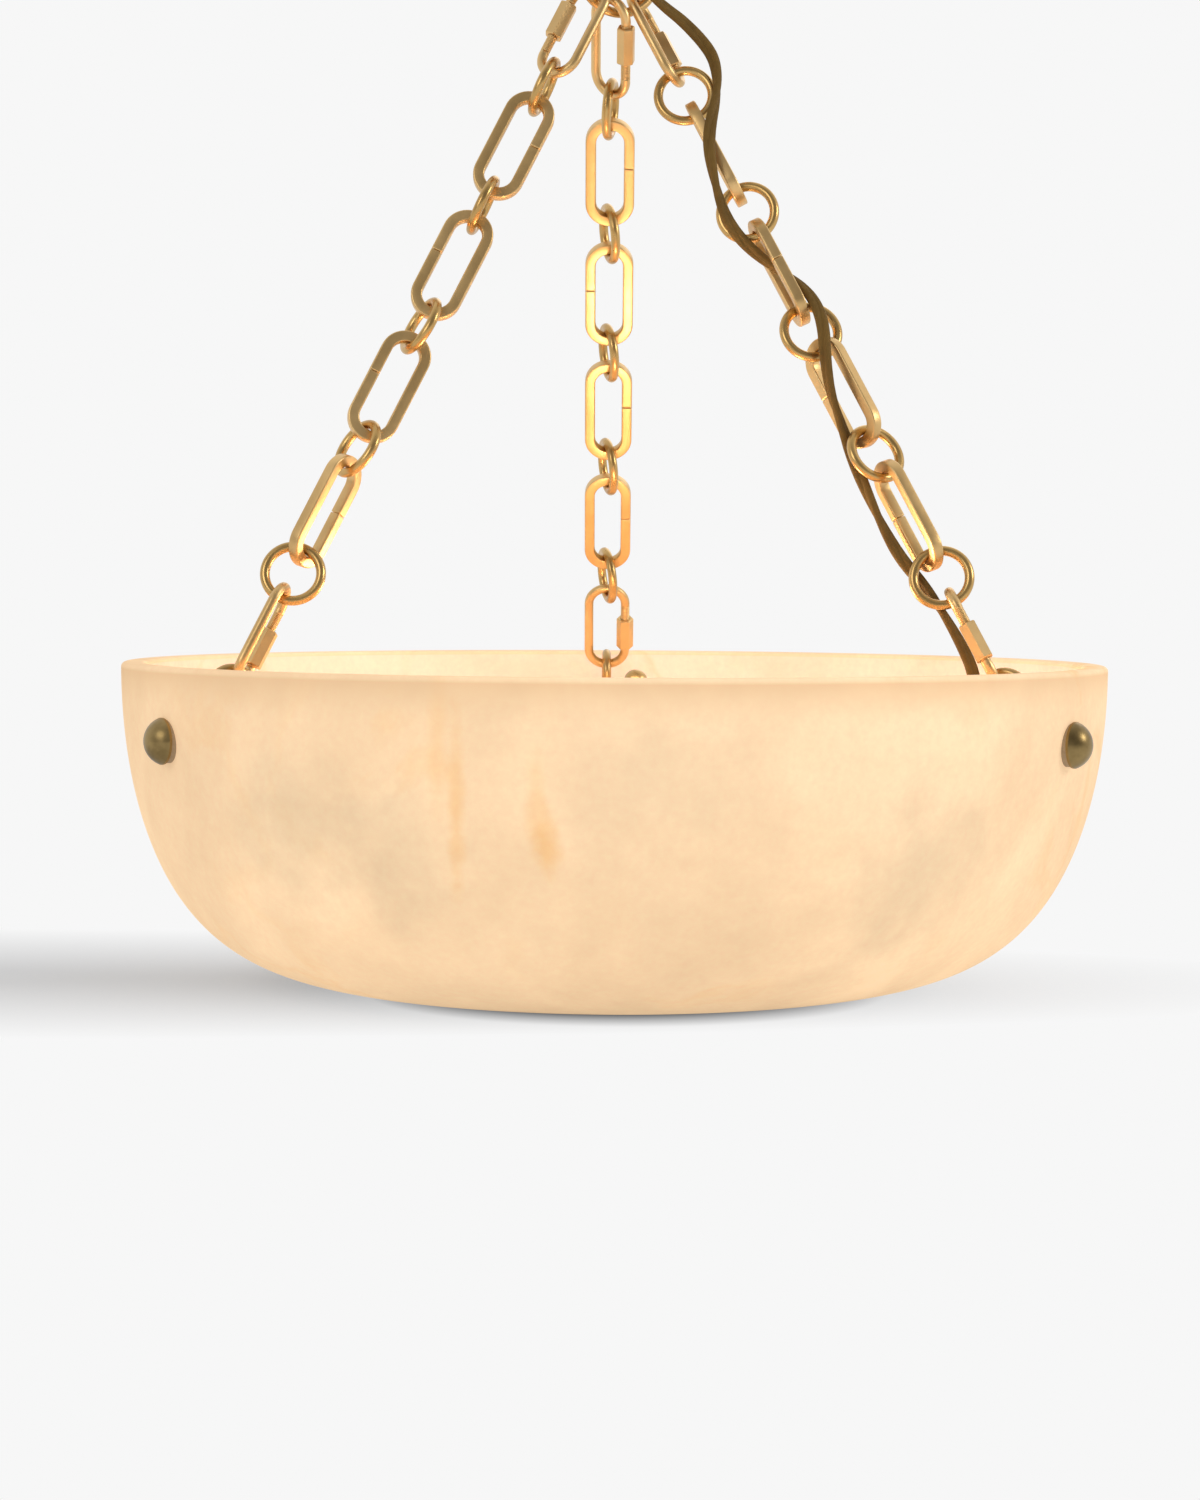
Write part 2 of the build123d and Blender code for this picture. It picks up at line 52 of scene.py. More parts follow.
scene.view_settings.view_transform = "Standard"
rimHeight = -0.43438
mm = 0.001


# Helpers for nodes and meshes

def addNode(tree, kind, values=None, **settings):
    node = tree.nodes.new(kind)
    for key, value in settings.items():
        setattr(node, key, value)
    for key, value in (values or {}).items():
        if isinstance(value, bpy.types.NodeSocket):
            tree.links.new(value, node.inputs[key])
        else:
            node.inputs[key].default_value = value
    return node


def newGroup(name, kind, inputs, outputs):
    tree = bpy.data.node_groups.new(name, kind)
    for label, socketKind, value in inputs:
        socket = tree.interface.new_socket(name=label, in_out="INPUT", socket_type=socketKind)
        if value is not None:
            socket.default_value = value
    for label, socketKind in outputs:
        tree.interface.new_socket(name=label, in_out="OUTPUT", socket_type=socketKind)
    return tree, tree.nodes.new("NodeGroupInput"), tree.nodes.new("NodeGroupOutput")


def math(tree, operation, a, b=0.0, clamp=False):
    return addNode(tree, "ShaderNodeMath", {0: a, 1: b}, operation=operation, use_clamp=clamp).outputs[0]


def vectorMath(tree, operation, *values):
    node = addNode(tree, "ShaderNodeVectorMath", dict(enumerate(values)), operation=operation)
    return node.outputs["Value" if operation == "LENGTH" else 0]


def spread(tree, value, low, high, toLow=0.0, toHigh=1.0):
    node = addNode(tree, "ShaderNodeMapRange", {"Value": value, "From Min": low, "From Max": high,
                                                "To Min": toLow, "To Max": toHigh})
    return node.outputs["Result"]


def blendColours(tree, share, a, b, mode="MIX"):
    node = addNode(tree, "ShaderNodeMix", data_type="RGBA", blend_type=mode)
    for socket, value in ((node.inputs[0], share), (node.inputs[6], a), (node.inputs[7], b)):
        if isinstance(value, bpy.types.NodeSocket):
            tree.links.new(value, socket)
        else:
            socket.default_value = value
    return node.outputs[2]


def noise(tree, where, scale, detail=2.0, rough=0.5):
    node = addNode(tree, "ShaderNodeTexNoise", {"Vector": where, "Scale": scale, "Detail": detail,
                                                "Roughness": rough})
    return node.outputs["Fac"]


def newMaterial(name, **values):
    made = bpy.data.materials.new(name)
    made.use_nodes = True
    shader = made.node_tree.nodes["Principled BSDF"]
    for key, value in values.items():
        shader.inputs[key].default_value = value
    return made, made.node_tree, shader


def objectCoords(tree, place=(0, 0, 0), scale=(1, 1, 1)):
    coords = addNode(tree, "ShaderNodeTexCoord")
    mapping = addNode(tree, "ShaderNodeMapping", {"Vector": coords.outputs["Object"], "Scale": scale,
                                                  "Location": [-p * s for p, s in zip(place, scale)]})
    return mapping.outputs["Vector"]


def newMesh(name, points, faces, smooth=True):
    mesh = bpy.data.meshes.new(name)
    mesh.from_pydata([tuple(p) for p in points], [], faces)
    mesh.polygons.foreach_set("use_smooth", [smooth] * len(mesh.polygons))
    mesh.update()
    return mesh


def newObject(name, mesh):
    made = bpy.data.objects.new(name, mesh)
    scene.collection.objects.link(made)
    return made


# The plain mesh that a node tree makes of an object
def settle(source, tree, inputs, name):
    modifier = source.modifiers.new("made", "NODES")
    modifier.node_group = tree
    for item in tree.interface.items_tree:
        if item.in_out == "INPUT" and item.name in inputs:
            modifier[item.identifier] = inputs[item.name]
    bpy.context.view_layer.update()
    graph = bpy.context.evaluated_depsgraph_get()
    mesh = bpy.data.meshes.new_from_object(source.evaluated_get(graph))
    mesh.name = name
    source.modifiers.remove(modifier)
    return mesh


# Shader groups that several finishes share

metalWear = {
    "cloud": (0.38, 0.64), "speckScale": 900.0, "speck": (0.58, 0.78, 0.0, 0.12), "speckHeight": 0.6,
    "brushStretch": 22, "brushScale": 130.0, "worn": (0.52, 0.6, 0.0, 0.5), "grime": (0.48, 0.4, 0.0, 0.6),
    "mattScale": 160.0, "matt": (0.3, 0.7), "mattShare": 0.75,
}


def makeMetalGroup(wear):
    tree, given, out = newGroup("metalTone", "ShaderNodeTree",
        [("Coords", "NodeSocketVector", None), ("Bright", "NodeSocketColor", (0.5, 0.3, 0.1, 1)),
         ("Dark", "NodeSocketColor", (0.2, 0.1, 0.03, 1)), ("Patch Scale", "NodeSocketFloat", 40.0),
         ("Dark Share", "NodeSocketFloat", 0.5), ("Smooth", "NodeSocketFloat", 0.2),
         ("Rough", "NodeSocketFloat", 0.4), ("Scratch", "NodeSocketFloat", 0.5)],
        [("Color", "NodeSocketColor"), ("Roughness", "NodeSocketFloat"), ("Height", "NodeSocketFloat")])
    where, patch = given.outputs["Coords"], given.outputs["Patch Scale"]
    cloud = noise(tree, where, patch, 4.0, 0.6)
    speck = noise(tree, where, wear["speckScale"], 3.0, 0.6)
    brush = addNode(tree, "ShaderNodeMapping", {"Vector": where, "Scale": (1, 1, wear["brushStretch"])})
    brushed = noise(tree, brush.outputs["Vector"], wear["brushScale"], 3.0, 0.7)
    edge = addNode(tree, "ShaderNodeNewGeometry").outputs["Pointiness"]
    tone = spread(tree, cloud, *wear["cloud"])
    tone = math(tree, "MULTIPLY", tone, given.outputs["Dark Share"])
    tone = math(tree, "ADD", tone, spread(tree, speck, *wear["speck"]), True)
    colour = blendColours(tree, tone, given.outputs["Bright"], given.outputs["Dark"])
    worn = spread(tree, edge, *wear["worn"])
    colour = blendColours(tree, worn, colour, given.outputs["Bright"])
    grime = spread(tree, edge, *wear["grime"])
    colour = blendColours(tree, grime, colour, given.outputs["Dark"])
    matt = spread(tree, noise(tree, where, wear["mattScale"], 5.0, 0.65), *wear["matt"])
    matt = math(tree, "ADD", math(tree, "MULTIPLY", matt, wear["mattShare"]),
                math(tree, "MULTIPLY", brushed, 1 - wear["mattShare"]))
    roughRange = math(tree, "SUBTRACT", given.outputs["Rough"], given.outputs["Smooth"])
    rough = math(tree, "ADD", math(tree, "MULTIPLY", matt, roughRange), given.outputs["Smooth"], True)
    height = math(tree, "ADD", brushed, math(tree, "MULTIPLY", speck, wear["speckHeight"]))
    height = math(tree, "MULTIPLY", height, given.outputs["Scratch"])
    for label, value in (("Color", colour), ("Roughness", rough), ("Height", height)):
        tree.links.new(value, out.inputs[label])
    return tree


def makeMarkGroup():
    tree, given, out = newGroup("softMark", "ShaderNodeTree",
        [("Coords", "NodeSocketVector", None), ("Centre", "NodeSocketVector", (0, 0, 0)),
         ("Stretch", "NodeSocketVector", (30, 30, 30)), ("Ragged", "NodeSocketFloat", 0.35)],
        [("Mask", "NodeSocketFloat")])
    away = vectorMath(tree, "SUBTRACT", given.outputs["Coords"], given.outputs["Centre"])
    length = vectorMath(tree, "LENGTH", vectorMath(tree, "MULTIPLY", away, given.outputs["Stretch"]))
    ragged = noise(tree, given.outputs["Coords"], 55.0, 5.0, 0.6)
    ragged = math(tree, "MULTIPLY", math(tree, "SUBTRACT", ragged, 0.5), given.outputs["Ragged"])
    length = math(tree, "ADD", length, math(tree, "MULTIPLY", ragged, 4.0))
    node = addNode(tree, "ShaderNodeMapRange", {"Value": length, "From Min": 1.0, "From Max": 0.1},
                   interpolation_type="SMOOTHSTEP")
    tree.links.new(node.outputs["Result"], out.inputs["Mask"])
    return tree


def makeWeaveGroup():
    tree, given, out = newGroup("braidWeave", "ShaderNodeTree",
        [("Around", "NodeSocketFloat", 0.0), ("Along", "NodeSocketFloat", 0.0),
         ("Threads", "NodeSocketFloat", 16.0), ("Pitch", "NodeSocketFloat", 0.011)],
        [("Mask", "NodeSocketFloat"), ("Height", "NodeSocketFloat")])
    around = math(tree, "MULTIPLY", given.outputs["Around"], given.outputs["Threads"])
    along = math(tree, "DIVIDE", given.outputs["Along"], given.outputs["Pitch"])
    along = math(tree, "MULTIPLY", along, given.outputs["Threads"])
    rising = math(tree, "SINE", math(tree, "MULTIPLY", math(tree, "ADD", around, along), pi))
    falling = math(tree, "SINE", math(tree, "MULTIPLY", math(tree, "SUBTRACT", around, along), pi))
    rising, falling = math(tree, "ABSOLUTE", rising), math(tree, "ABSOLUTE", falling)
    high = math(tree, "MAXIMUM", rising, falling)
    tree.links.new(high, out.inputs["Height"])
    # the mask is high on the raised threads and low in the grooves
    tree.links.new(spread(tree, high, 0.6, 1.0), out.inputs["Mask"])
    return tree


metalTone = makeMetalGroup(metalWear)
softMark = makeMarkGroup()
braidWeave = makeWeaveGroup()
print("shader groups built")


# Finishes

metals = {
    "antiqueBrass": {"bright": (0.60, 0.38, 0.15), "dark": (0.28, 0.16, 0.055), "patch": 26.0,
                     "darkShare": 0.55, "smooth": 0.26, "rough": 0.38, "scratch": 0.4, "bump": 0.025},
    "darkBrass": {"bright": (0.34, 0.24, 0.10), "dark": (0.12, 0.08, 0.03), "patch": 50.0,
                  "darkShare": 0.7, "smooth": 0.28, "rough": 0.42, "scratch": 0.4, "bump": 0.03},
    "ringBrass": {"bright": (0.62, 0.40, 0.15), "dark": (0.36, 0.21, 0.07), "patch": 30.0,
                  "darkShare": 0.5, "smooth": 0.24, "rough": 0.34, "scratch": 0.2, "bump": 0.015},
    "satinBrass": {"bright": (0.78, 0.53, 0.24), "dark": (0.48, 0.30, 0.11), "patch": 22.0,
                   "darkShare": 0.55, "smooth": 0.34, "rough": 0.44, "scratch": 0.4, "bump": 0.025},
    "zincSteel": {"bright": (0.62, 0.62, 0.6), "dark": (0.3, 0.29, 0.26), "patch": 70.0,
                  "darkShare": 0.5, "smooth": 0.28, "rough": 0.48, "scratch": 0.6, "bump": 0.04},
}


def makeMetal(name, values):
    made, tree, shader = newMaterial(name, Metallic=1.0)
    group = addNode(tree, "ShaderNodeGroup", node_tree=metalTone)
    tree.links.new(objectCoords(tree), group.inputs["Coords"])
    group.inputs["Bright"].default_value = (*values["bright"], 1)
    group.inputs["Dark"].default_value = (*values["dark"], 1)
    for label, key in (("Patch Scale", "patch"), ("Dark Share", "darkShare"), ("Smooth", "smooth"),
                       ("Rough", "rough"), ("Scratch", "scratch")):
        group.inputs[label].default_value = values[key]
    bump = addNode(tree, "ShaderNodeBump", {"Strength": 0.6, "Distance": values["bump"] * mm,
                                            "Height": group.outputs["Height"]})
    tree.links.new(group.outputs["Color"], shader.inputs["Base Color"])
    tree.links.new(group.outputs["Roughness"], shader.inputs["Roughness"])
    tree.links.new(bump.outputs["Normal"], shader.inputs["Normal"])
    return made


finishes = {name: makeMetal(name, values) for name, values in metals.items()}

alabasterLook = {
    "stone": (0.64, 0.46, 0.29), "cloud": (0.70, 0.54, 0.37), "smoke": (0.58, 0.45, 0.30),
    "tan": (0.64, 0.38, 0.16), "smokeVeil": (0.76, 0.78, 0.78), "tanVeil": (0.92, 0.72, 0.45),
    # painted shade: the lip colour and the weaker lip glow darken the band just under the rim; the glow
    # colours are painted light, the stone's emission standing for the lamps shining through it
    "lip": (0.60, 0.42, 0.27), "glowOutside": (0.59, 0.41, 0.242), "glowInRimShade": (0.49, 0.325, 0.17),
    "glowInside": (0.55, 0.37, 0.30),
    "warpScale": 5.0, "warpShift": 0.16, "cloudScale": 7.0, "ridgeScale": 9.0, "ridgeWidth": 0.035,
    "veinPatchScale": 6.0, "grainScale": 260.0, "curtainScale": 24.0, "curtainStretch": 0.3,
    # depths under the rim in metres, and what they scale the glow from and to; the first band, just under the
    # rim, is painted shade, and the glow's rise deeper down is painted light
    "rimShadeFade": (-0.022, -0.003), "rimShadeTop": (-0.003, -0.0005), "rimShadePower": 1.6,
    "insideDepth": (-0.11, -0.02, 1.2, 1.0), "outsideDepth": (-0.166, -0.06, 1.2, 1.0),
    "cloudGlow": (0.0, 1.0, 0.86, 1.1),
    # centre, stretch and strength of each mark
    "streaks": [((-0.070, -0.235, -0.060), (170, 30, 17), 0.5),
                ((-0.029, -0.246, -0.076), (120, 30, 50), 0.6),
                ((-0.078, -0.236, -0.030), (150, 30, 20), 0.3),
                ((-0.034, -0.246, -0.060), (140, 30, 28), 0.35)],
    "smokes": [((-0.150, -0.195, -0.070), (18, 18, 21), 0.6), ((-0.100, -0.225, -0.085), (22, 18, 22), 0.5),
               ((0.144, -0.190, -0.092), (16, 18, 19), 0.6), ((0.03, -0.245, -0.045), (22, 20, 28), 0.3)],
}


def makeAlabaster(look):
    made, tree, shader = newMaterial("alabaster", Roughness=0.42, IOR=1.52)
    shader.inputs["Specular IOR Level"].default_value = 0.0
    shader.inputs["Emission Strength"].default_value = 1.0
    where = objectCoords(tree, (0, 0, rimHeight))
    warp = addNode(tree, "ShaderNodeTexNoise", {"Vector": where, "Scale": look["warpScale"], "Detail": 3.0})
    shift = vectorMath(tree, "MULTIPLY", warp.outputs["Color"], (look["warpShift"],) * 3)
    bent = vectorMath(tree, "ADD", where, shift)
    cloud = spread(tree, noise(tree, bent, look["cloudScale"], 5.0, 0.6), 0.35, 0.68)
    ridge = math(tree, "SUBTRACT", noise(tree, bent, look["ridgeScale"], 6.0, 0.55), 0.5)
    vein = spread(tree, math(tree, "ABSOLUTE", ridge), look["ridgeWidth"], 0.0)
    patch = spread(tree, noise(tree, where, look["veinPatchScale"], 2.0), 0.45, 0.7, 0.0, 0.5)
    vein = math(tree, "MULTIPLY", vein, patch)
    grain = spread(tree, noise(tree, where, look["grainScale"], 4.0, 0.6), 0.3, 0.7, 0.92, 1.04)
    drawn = addNode(tree, "ShaderNodeMapping", {"Vector": bent, "Scale": (1, 1, look["curtainStretch"])})
    curtain = noise(tree, drawn.outputs["Vector"], look["curtainScale"], 5.0, 0.6)
    curtain = spread(tree, curtain, 0.3, 0.7, 0.93, 1.06)
    colour = blendColours(tree, cloud, (*look["stone"], 1), (*look["cloud"], 1))
    colour = blendColours(tree, vein, colour, (*look["tan"], 1))
    veil = blendColours(tree, vein, (1, 1, 1, 1), (*look["tanVeil"], 1))
    for marks, tint, dim in ((look["smokes"], look["smoke"], look["smokeVeil"]),
                             (look["streaks"], look["tan"], look["tanVeil"])):
        for centre, stretch, strength in marks:
            mark = addNode(tree, "ShaderNodeGroup", node_tree=softMark)
            tree.links.new(where, mark.inputs["Coords"])
            mark.inputs["Centre"].default_value = centre
            mark.inputs["Stretch"].default_value = stretch
            mask = math(tree, "MULTIPLY", mark.outputs["Mask"], strength)
            colour = blendColours(tree, mask, colour, (*tint, 1))
            veil = blendColours(tree, mask, veil, (*dim, 1))
    colour = blendColours(tree, 1.0, colour, grain, "MULTIPLY")
    inside = addNode(tree, "ShaderNodeAttribute", attribute_name="inside").outputs["Fac"]
    rimDepth = addNode(tree, "ShaderNodeSeparateXYZ", {"Vector": where}).outputs["Z"]
    # painted shade: a band just under the rim, darker tan outside with a weaker glow
    lip = math(tree, "SUBTRACT", spread(tree, rimDepth, *look["rimShadeFade"]),
               spread(tree, rimDepth, *look["rimShadeTop"]))
    lip = math(tree, "POWER", lip, look["rimShadePower"])
    outside = math(tree, "SUBTRACT", 1.0, inside)
    colour = blendColours(tree, math(tree, "MULTIPLY", lip, outside), colour, (*look["lip"], 1))
    outsideGlow = blendColours(tree, lip, (*look["glowOutside"], 1), (*look["glowInRimShade"], 1))
    # painted glow: the emission stands for the lamps' light through the stone, brighter deeper down and
    # dimmed by the stone's marks
    deep = spread(tree, rimDepth, *look["insideDepth"])
    insideGlow = blendColours(tree, 1.0, (*look["glowInside"], 1), deep, "MULTIPLY")
    glow = blendColours(tree, inside, outsideGlow, insideGlow)
    level = math(tree, "MULTIPLY", curtain, spread(tree, cloud, *look["cloudGlow"]))
    level = math(tree, "MULTIPLY", level, spread(tree, rimDepth, *look["outsideDepth"]))
    glow = blendColours(tree, 1.0, glow, veil, "MULTIPLY")
    glow = blendColours(tree, 1.0, glow, level, "MULTIPLY")
    bump = addNode(tree, "ShaderNodeBump", {"Strength": 0.25, "Distance": 0.3 * mm, "Height": grain})
    tree.links.new(colour, shader.inputs["Base Color"])
    tree.links.new(glow, shader.inputs["Emission Color"])
    tree.links.new(bump.outputs["Normal"], shader.inputs["Normal"])
    return made


cordLook = {"gold": (0.27, 0.155, 0.036), "brown": (0.1, 0.055, 0.013), "threads": 20.0, "pitch": 0.016}


def makeCordFabric(look):
    made, tree, shader = newMaterial("cordFabric", Roughness=0.7)
    shader.inputs["Specular IOR Level"].default_value = 0.2
    place = addNode(tree, "ShaderNodeSeparateXYZ", {"Vector": addNode(tree, "ShaderNodeUVMap").outputs["UV"]})
    weave = addNode(tree, "ShaderNodeGroup", node_tree=braidWeave)
    tree.links.new(place.outputs["X"], weave.inputs["Around"])
    tree.links.new(place.outputs["Y"], weave.inputs["Along"])
    weave.inputs["Threads"].default_value = look["threads"]
    weave.inputs["Pitch"].default_value = look["pitch"]
    worn = spread(tree, noise(tree, objectCoords(tree), 70.0, 4.0, 0.6), 0.35, 0.7)
    # painted shade: the weave's grooves take the darker brown and its raised threads the gold; the rest of
    # the tone varies at random
    tone = math(tree, "ADD", math(tree, "MULTIPLY", weave.outputs["Mask"], 0.6),
                math(tree, "MULTIPLY", worn, 0.4))
    colour = blendColours(tree, tone, (*look["brown"], 1), (*look["gold"], 1))
    bump = addNode(tree, "ShaderNodeBump", {"Strength": 0.7, "Distance": 0.25 * mm,
                                            "Height": weave.outputs["Height"]})
    tree.links.new(colour, shader.inputs["Base Color"])
    tree.links.new(bump.outputs["Normal"], shader.inputs["Normal"])
    return made


plains = {
    "softWasher": {"a": (0.4, 0.3, 0.19), "b": (0.5, 0.39, 0.26), "scale": 500.0, "rough": (0.55, 0.75)},
    "holderPlastic": {"a": (0.72, 0.69, 0.62), "b": (0.8, 0.78, 0.72), "scale": 90.0, "rough": (0.34, 0.5)},
    "blockPlastic": {"a": (0.6, 0.6, 0.57), "b": (0.74, 0.73, 0.7), "scale": 120.0, "rough": (0.4, 0.55)},
    "opalGlass": {"a": (0.84, 0.8, 0.72), "b": (0.88, 0.85, 0.79), "scale": 60.0, "rough": (0.22, 0.32)},
}


def makePlain(name, look):
    made, tree, shader = newMaterial(name)
    where = objectCoords(tree)
    tone = noise(tree, where, look["scale"], 4.0, 0.6)
    grain = noise(tree, where, 1500.0, 2.0, 0.5)
    bump = addNode(tree, "ShaderNodeBump", {"Strength": 0.3, "Distance": 0.08 * mm, "Height": grain})
    tree.links.new(blendColours(tree, tone, (*look["a"], 1), (*look["b"], 1)), shader.inputs["Base Color"])
    tree.links.new(spread(tree, tone, 0.3, 0.7, *look["rough"]), shader.inputs["Roughness"])
    tree.links.new(bump.outputs["Normal"], shader.inputs["Normal"])
    return made


for name, look in plains.items():
    finishes[name] = makePlain(name, look)
bulbLook = {"colour": (1.0, 0.74, 0.42), "strength": 2.6}
lit = finishes["opalGlass"].node_tree.nodes["Principled BSDF"]
lit.inputs["Emission Color"].default_value = (*bulbLook["colour"], 1)
lit.inputs["Emission Strength"].default_value = bulbLook["strength"]
finishes["alabaster"] = makeAlabaster(alabasterLook)
finishes["cordFabric"] = makeCordFabric(cordLook)
print("finishes built", sorted(finishes))


# Cord: a flat twin-core lead in a braided cover, turning slowly along its way

cordShape = {
    "coreRadius": 1.95, "coreOffset": 1.2, "around": 32, "splitHeight": -0.077,
    "turnLength": 0.135, "firstTurn": 35.0, "wobble": 0.5, "wobbleRate": 31.0, "pathSteps": 12,
    "points": [
        (0, -0.024, -0.017), (0, -0.024, -0.0495), (0.0045, -0.018, -0.0815), (0.0135, -0.011, -0.095),
        (0.023, -0.006, -0.103), (0.0335, -0.004, -0.1105), (0.045, -0.004, -0.1225),
        (0.0495, -0.009, -0.132), (0.0505, -0.018, -0.147), (0.0455, -0.034, -0.1685),
        (0.046, -0.0405, -0.184), (0.0515, -0.042, -0.2065), (0.058, -0.041, -0.219),
        (0.068, -0.0385, -0.229), (0.0785, -0.0385, -0.2365), (0.091, -0.044, -0.245),
        (0.0985, -0.0505, -0.2545), (0.102, -0.0595, -0.267), (0.1025, -0.0645, -0.2825),
        (0.105, -0.065, -0.299), (0.1095, -0.062, -0.311), (0.1125, -0.0625, -0.3195),
        (0.116, -0.0645, -0.3305), (0.123, -0.068, -0.348), (0.132, -0.0695, -0.367),
        (0.1405, -0.074, -0.382), (0.1525, -0.0805, -0.396), (0.16, -0.084, -0.4075),
        (0.1675, -0.087, -0.4205), (0.1745, -0.09, -0.4355), (0.1755, -0.091, -0.45),
        (0.173, -0.0925, -0.47), (0.1685, -0.0915, -0.506), (0.158, -0.087, -0.54),
        (0.143, -0.079, -0.563), (0.122, -0.068, -0.577), (0.096, -0.052, -0.583),
        (0.07, -0.035, -0.5775), (0.0456, -0.02, -0.5721), (0.0197, -0.005, -0.5721),
    ],
}


def splinePath(points, steps):
    curve = bpy.data.curves.new("cordLine", "CURVE")
    curve.dimensions = "3D"
    curve.resolution_u = steps
    spline = curve.splines.new("NURBS")
    spline.points.add(len(points) - 1)
    for point, place in zip(spline.points, points):
        point.co = (*place, 1)
    spline.order_u = 3
    spline.use_endpoint_u = True
    holder = newObject("cordLine", curve)
    bpy.context.view_layer.update()
    line = bpy.data.meshes.new_from_object(holder)
    path = [v.co.copy() for v in line.vertices]
    bpy.data.objects.remove(holder)
    return path


def twinSection(shape, turn):
    core, offset = shape["coreRadius"] * mm, shape["coreOffset"] * mm
    section = []
    for i in range(shape["around"]):
        a = 2 * pi * i / shape["around"]
        reach = offset * abs(cos(a)) + sqrt(core ** 2 - (offset * sin(a)) ** 2)
        section.append((reach * cos(a + turn), reach * sin(a + turn)))
    return section


def cordFrames(path, shape):
    frames, travelled, side = [], 0.0, Vector((1, 0, 0))
    for i, here in enumerate(path):
        ahead = (path[min(i + 1, len(path) - 1)] - path[max(i - 1, 0)]).normalized()
        if i:
            travelled += (here - path[i - 1]).length
        side = (side - ahead * side.dot(ahead)).normalized()
        turn = radians(shape["firstTurn"]) + 2 * pi * travelled / shape["turnLength"]
        turn += shape["wobble"] * sin(travelled * shape["wobbleRate"])
        frames.append((here, side.copy(), ahead.cross(side), turn, travelled))
    return frames


def twinTube(name, frames, shape):
    points, faces, uvs, around = [], [], [], shape["around"]
    for here, side, other, turn, _ in frames:
        points += [here + side * x + other * y for x, y in twinSection(shape, turn)]
    for ring in range(len(frames) - 1):
        low, high = frames[ring][4], frames[ring + 1][4]
        for i in range(around):
            j = (i + 1) % around
            here, ahead = ring * around, (ring + 1) * around
            faces.append((here + i, here + j, ahead + j, ahead + i))
            uvs += [(i / around, low), ((i + 1) / around, low), ((i + 1) / around, high), (i / around, high)]
    last = (len(frames) - 1) * around
    faces.append(tuple(reversed(range(around))))
    faces.append(tuple(range(last, last + around)))
    uvs += [(0.5, frames[0][4])] * around + [(0.5, frames[-1][4])] * around
    mesh = newMesh(name, points, faces)
    layer = mesh.uv_layers.new(name="UVMap")
    layer.data.foreach_set("uv", [value for uv in uvs for value in uv])
    for cap in mesh.polygons[-2:]:
        cap.use_smooth = False
    return newObject(name, mesh)


cordPath = splinePath(cordShape["points"], cordShape["pathSteps"])
allFrames = cordFrames(cordPath, cordShape)
split = next(i for i, place in enumerate(cordPath) if place.z < cordShape["splitHeight"])
for name, frames, bodies, start, end in (
        ("cordUpper", allFrames[:split + 1], ("ceiling_mount", "top_ring"),
         (0, -0.024, -0.040), (0.003, -0.021, -0.074)),
        ("cordLower", allFrames[split:], ("top_ring", "pendant"),
         (0.006, -0.017, -0.081), (0.046, -0.005, -0.124))):
    piece = twinTube(name, frames, cordShape)
    piece.data.materials.append(finishes["cordFabric"])
    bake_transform(piece)
    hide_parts("supply_cord")


# Camera at the photograph's place

cameraPlace = {"x": 0.0, "y": -1.7289, "z": -0.38548, "pitch": 0.0543, "yaw": -0.0041, "roll": 0.0053,
               "lens": 81.07}


def makeCamera(place):
    p, yaw, roll = place["pitch"], place["yaw"], place["roll"]
    flatRight = Vector((cos(yaw), -sin(yaw), 0))
    depth = Vector((cos(p) * sin(yaw), cos(p) * cos(yaw), -sin(p)))
    flatUp = Vector((sin(p) * sin(yaw), sin(p) * cos(yaw), cos(p)))
    right = flatRight * cos(roll) + flatUp * sin(roll)
    up = flatUp * cos(roll) - flatRight * sin(roll)
    lens = bpy.data.cameras.new("camera")
    lens.lens = place["lens"]
    lens.sensor_width = 36.0
    lens.sensor_fit = "AUTO"
    lens.clip_start, lens.clip_end = 0.05, 60.0
    camera = newObject("camera", lens)
    turn = Matrix((right, up, -depth)).transposed().to_4x4()
    camera.matrix_world = Matrix.Translation((place["x"], place["y"], place["z"])) @ turn
    scene.camera = camera


makeCamera(cameraPlace)
print("camera set")


# Node trees for what repeats and for what is turned

def paintedOut(tree, given, out, geometry):
    real = addNode(tree, "GeometryNodeRealizeInstances", {"Geometry": geometry})
    paint = addNode(tree, "GeometryNodeSetMaterial", {"Geometry": real.outputs[0],
                                                      "Material": given.outputs["Material"]})
    tree.links.new(paint.outputs[0], out.inputs[0])


def makeRingTree():
    tree, given, out = newGroup("wireRing", "GeometryNodeTree",
        [("Geometry", "NodeSocketGeometry", None), ("Ring Radius", "NodeSocketFloat", 0.0136),
         ("Wire Radius", "NodeSocketFloat", 0.0024), ("Steps Round", "NodeSocketInt", 96),
         ("Steps Across", "NodeSocketInt", 24), ("Material", "NodeSocketMaterial", None)],
        [("Geometry", "NodeSocketGeometry")])
    loop = addNode(tree, "GeometryNodeCurvePrimitiveCircle", mode="RADIUS")
    wire = addNode(tree, "GeometryNodeCurvePrimitiveCircle", mode="RADIUS")
    for node, steps, radius in ((loop, "Steps Round", "Ring Radius"),
                                (wire, "Steps Across", "Wire Radius")):
        tree.links.new(given.outputs[steps], node.inputs["Resolution"])
        tree.links.new(given.outputs[radius], node.inputs["Radius"])
    tube = addNode(tree, "GeometryNodeCurveToMesh", {"Curve": loop.outputs[0],
                                                     "Profile Curve": wire.outputs[0]})
    paintedOut(tree, given, out, tube.outputs[0])
    return tree


